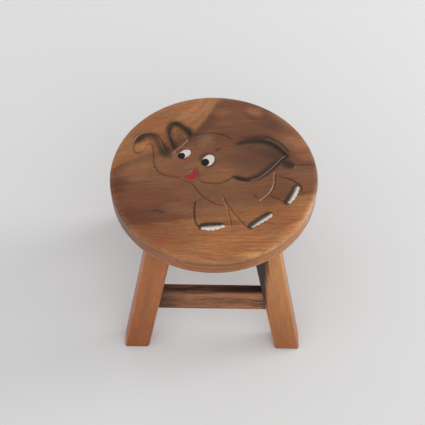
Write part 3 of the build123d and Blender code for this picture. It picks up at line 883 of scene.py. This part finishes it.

# The wood's figure runs in a fan between the two lines.
seat_material, tree, surface = new_material("carved hardwood")
object_place = put(tree, "TexCoord", {}, "Object")
along, across, level = axes(tree, object_place)
front_line = edge_line(tree, along, front_edge)
fan = maths(tree, "SUBTRACT", edge_line(tree, along, sapwood_edge), front_line)
into_fan = maths(tree, "DIVIDE", maths(tree, "SUBTRACT", across, front_line), fan)
into_fan = times(tree, into_fan, fan_width, clamp=False)
fanned = put(tree, "CombineXYZ", {0: along, 1: into_fan, 2: level})
half_way = times(tree, into_fan, fan_share, clamp=False)
half_way = sums(tree, half_way, (across, 1 - fan_share))
half_fanned = put(tree, "CombineXYZ", {0: along, 1: half_way, 2: level})
figure = timber(
    tree, fanned, waviness=0.006, ring_width=0.006, pith=(-0.02, -0.25), fibre_place=half_fanned
)
height_in_fan = axes(tree, figure["bent"])["Y"]
above_sap = sums(tree, -fan_width, (height_in_fan, 1.0))
above_sap = grained(tree, figure, above_sap, bands=0.004, streaks=0.002)
below_front = sums(tree, -front_start, (height_in_fan, -1.0))
below_front = grained(tree, figure, below_front, bands=0.018, streaks=0.010)

# Heartwood, sapwood and the paler front, then veins, mottle and fine grain.
drift = streaks(tree, fanned, (14, 40, 40), 3.0)
drift = put(tree, "CombineXYZ", {1: sums(tree, -0.008, (drift, 0.016))})
tint_place = vectors(tree, "ADD", object_place, drift)
colour = tinted(tree, tint_place, heartwood, heart_tints)
in_sapwood = ramp(tree, above_sap, *sapwood_fade)
colour = blend(tree, in_sapwood, colour, tinted(tree, tint_place, sapwood, sapwood_tints))
in_front = ramp(tree, below_front, *front_fade)
colour = blend(tree, in_front, colour, tinted(tree, tint_place, front_wood, front_tints))
veins = grained(tree, figure, -0.62, rings=0.40, bands=0.55, streaks=0.60)
colour = blend(tree, times(tree, veins, 0.8), colour, vein)
colour = mottled(tree, figure, colour, redder)
shade_of_grain = grained(tree, figure, 0.70, bands=0.16, streaks=0.24, fibres=0.26, pores=-0.3)
front_grain = grained(tree, figure, 0.78, streaks=0.26, fibres=0.22, mottle=-0.04)
front_grain = put(tree, "Mix", {0: in_front, 2: 1.0, 3: front_grain}, 0)
colour = scaled(tree, colour, times(tree, shade_of_grain, front_grain, clamp=False))
# Painted shade on the side of the board, with its darker grain.
on_side = ramp(tree, level, *side_grain_and_shade_levels)
colour = blend(tree, on_side, colour, blend(tree, 1.0, colour, side_grain_and_shade, "MULTIPLY"))

# Pale edge wear with a painted highlight, painted shade in the cuts, white enamel, sprayed shading
# over it, painted light on the lit cut walls, then the black and the red.
painted = {name: put(tree, "Attribute", {}, "Fac", attribute_name=name) for name in layer_names}
wear_and_highlight_share = sums(tree, -0.2, (painted["worn"], 0.9), (figure["streaks"], 0.3))
colour = blend(tree, times(tree, wear_and_highlight_share, 0.4), colour, wear_and_highlight_colour)
speckle = streaks(tree, object_place, (420, 420, 420), 3.0, 0.6)
# Painted shade in the cuts and on their dark walls.
colour = blend(tree, maths(tree, "MAXIMUM", painted["stain"], 0.0), colour, cut_shade_colour)
colour = blend(tree, ramp(tree, painted["white"], *white_fade), colour, enamel_white)
mist = sums(tree, -0.19, (painted["spray"], 1.0), (speckle, 0.38))
bare = maths(tree, "POWER", maths(tree, "SUBTRACT", 1.0, mist, clamp=True), 2.0)
mist = sums(tree, spray_cover, (bare, -spray_cover))
colour = blend(tree, mist, colour, spray_black)
# Painted light on the lit walls of some cuts, greyer under spray.
lit_wall = blend(tree, times(tree, painted["spray"], 1.6), lit_wall_colour, sprayed_lit_wall_colour)
colour = blend(tree, times(tree, painted["stain"], -1.0), colour, lit_wall)
colour = blend(tree, ramp(tree, painted["black"], *black_fade), colour, enamel_black)
red_coat = blend(tree, ramp(tree, painted["red"], *bright_red), mouth_edge_red, enamel_red)
colour = blend(tree, ramp(tree, painted["red"], *red_fade), colour, red_coat)
coat = lacquered(tree, surface, figure, colour, specular=0.3)
polished = sums(tree, 0.30, (painted["cut"], -0.06), (figure["pores"], 0.2), (mist, 0.2))
tree.links.new(polished, coat.inputs["Roughness"])
seat_mesh.materials.append(seat_material)
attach(carved_seat, "root")
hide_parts("seat")

# ================================================================ legs
# Four square-sawn bars of paler hardwood, leaning in both ways, tenoned into the battens above.
# Each keeps the frame's own shape and takes wood whose grain runs up the bar.
leg_lean = 0.20
foot_level, leg_top = 0.02, 0.205  # the colour changes between these heights
leg_colours = {
    ("front", "left"): (paint(142, 84, 46), paint(160, 102, 60)),
    ("front", "right"): (paint(154, 97, 54), paint(180, 127, 76)),
    ("rear", "left"): (paint(140, 86, 49), paint(152, 96, 56)),
    ("rear", "right"): (paint(134, 80, 43), paint(148, 94, 54)),
}
leg_vein = paint(104, 54, 30)
leg_redder = (1.08, 0.94, 0.86, 1)
# Pale wear and a painted highlight on the legs' edges.
leg_wear_and_highlight = paint(206, 160, 116)
leg_outer = (0.118, 0.113)  # outer faces of a foot from the middle planes
leg_size = (0.033, 0.027)
arris_wear_and_highlight = (0.0030, 0.0008)  # pale wear and a painted highlight come in between these distances from a leg's edge
streak_colour = paint(50, 32, 24)
streak_edge = 0.0742  # the front right leg is dark heartwood where X + 0.03 Z is less than this
streak_slope = 0.03


def dress(node_name, material_name=""):
    """Give a node of the frame one new material, a wood named after it unless a name is given: the
    material's node tree and its output node's surface input."""
    material, tree, surface = new_material(material_name or node_name.replace("_", " ") + " wood")
    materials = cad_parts[node_name].data.materials
    materials.clear()
    materials.append(material)
    return tree, surface


for y_side, end in ((-1, "front"), (1, "rear")):
    for x_side, hand in ((-1, "left"), (1, "right")):
        tree, surface = dress(f"{end}_{hand}_leg")
        up_the_leg = Vector((-x_side * leg_lean, -y_side * leg_lean, 1))
        upright = up_the_leg.rotation_difference(Vector((1, 0, 0))).to_euler("XYZ")
        place = grain_space(tree, upright, (0.3 * x_side, 0.02 * x_side, 0.03 * y_side))
        figure = timber(tree, place, waviness=0.008, ring_width=0.008, pith=(0.02, -0.09))
        world = axes(tree, put(tree, "TexCoord", {}, "Object"))
        foot_wood, top_wood = leg_colours[end, hand]
        height = grained(tree, figure, world["Z"], bands=0.03, mottle=0.04)
        colour = blend(tree, ramp(tree, height, foot_level, leg_top), foot_wood, top_wood)
        veins = grained(tree, figure, -0.50, rings=0.40, bands=0.45, streaks=0.45)
        colour = blend(tree, times(tree, veins, 0.7), colour, leg_vein)
        colour = mottled(tree, figure, colour, leg_redder)
        # Pale wear and a painted highlight along the bar's four edges.
        edge_gaps = []
        for axis, side, outer, breadth in zip("XY", (x_side, y_side), leg_outer, leg_size):
            inward = sums(tree, outer - breadth / 2, (world["Z"], -leg_lean))
            off_middle = sums(tree, 0.0, (world[axis], side), (inward, -1.0))
            off_middle = maths(tree, "ABSOLUTE", off_middle)
            edge_gaps.append(sums(tree, breadth / 2, (off_middle, -1.0)))
        gap = grained(tree, figure, maths(tree, "MAXIMUM", *edge_gaps), streaks=0.0012)
        wear_and_highlight_share = times(tree, ramp(tree, gap, *arris_wear_and_highlight), 0.36)
        colour = blend(tree, wear_and_highlight_share, colour, leg_wear_and_highlight)
        if (end, hand) == ("front", "right"):
            dark_side = sums(tree, world["X"], (world["Z"], streak_slope))
            dark_side = grained(tree, figure, dark_side, streaks=0.003, bands=0.003)
            light = ramp(tree, dark_side, streak_edge - 0.003, streak_edge + 0.004)
            colour = blend(tree, light, streak_colour, colour)
        tone = grained(tree, figure, 0.72, bands=0.14, streaks=0.20, fibres=0.24, pores=-0.26)
        lacquered(tree, surface, figure, scaled(tree, colour, tone))

# ================================================================ stretchers
# Four flat rails of dark, wavy heartwood, low between the legs of each end frame and higher
# between front and rear. Stub tenons hold them in the legs.
rail_brown = paint(152, 100, 67)
rail_dark = paint(34, 20, 14)
rail_top_shade = 0.0048  # painted shade from the seat on each rail's top face, fading out this far down
top_shade_start = (-0.07, 0.05)  # it comes in between these places along the rail
dark_left, dark_right = (0.002, -0.050), (0.074, 0.096)  # and so do the dark ends
rail_turns = {"front": 0, "rear": 0, "left": 90, "right": 90}  # degrees, of the grain
for end, turned in rail_turns.items():
    name = f"{end}_stretcher"
    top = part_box(name)[1][2]
    tree, surface = dress(name)
    place = grain_space(tree, (0, 0, radians(turned)))
    figure = timber(tree, place, wander_rate=(16, 30, 30), ring_width=0.009, pith=(0.03, -0.10))
    veins = grained(tree, figure, -0.94, rings=0.60, bands=0.80, streaks=0.65)
    colour = blend(tree, times(tree, veins, 0.9), rail_brown, rail_dark)
    height = axes(tree, put(tree, "TexCoord", {}, "Object"))["Z"]
    # Painted shade along the top face, under the seat.
    top_shade = grained(tree, figure, height, bands=0.0014, streaks=0.0010)
    top_shade = ramp(tree, top_shade, top - rail_top_shade, top)
    below_top_shade = sums(tree, 1.0, (top_shade, -0.7))
    along_rail = grained(tree, figure, axes(tree, place)["X"], bands=0.03, streaks=0.012)
    top_shade = times(tree, top_shade, ramp(tree, along_rail, *top_shade_start))
    right_end = ramp(tree, along_rail, *dark_right)
    left_end = ramp(tree, along_rail, *dark_left)
    dark = sums(tree, 0.0, (left_end, 0.78), (right_end, 0.6))
    dark = sums(tree, times(tree, dark, below_top_shade), (top_shade, 0.91))
    colour = blend(tree, dark, colour, rail_dark)
    tone = grained(tree, figure, 0.78, streaks=0.16, fibres=0.3, pores=-0.2)
    lacquered(tree, surface, figure, scaled(tree, colour, tone), specular=0.28)

# ================================================================ battens
# Two flat battens of the rails' wood under the seat. The legs' tenons stand in their through
# mortises, and two screws in each hold the seat.
batten_brown = paint(128, 82, 54)[:3]
for name, shift in (("front_batten", 0.4), ("rear_batten", 0.7)):
    tree, surface = dress(name)
    figure = timber(tree, grain_space(tree, shift=(0.1, shift, 0)))
    tone = grained(tree, figure, 0.6, rings=0.26, bands=0.3, fibres=0.24, pores=-0.2)
    lacquered(tree, surface, figure, scaled(tree, batten_brown, tone))

# ================================================================ seat screws
# Four zinc-plated countersunk wood screws with a cross slot, driven up through the battens.
zinc = paint(196, 190, 176)
tree, surface = dress("seat_screws", "zinc plate")
place = put(tree, "TexCoord", {}, "Object")
wear = streaks(tree, place, (900, 900, 900), 3.0)
dullness = sums(tree, 0.22, (wear, 0.25))
shade = put(tree, "BsdfPrincipled", {"Base Color": zinc, "Metallic": 1.0, "Roughness": dullness})
tree.links.new(shade, surface)
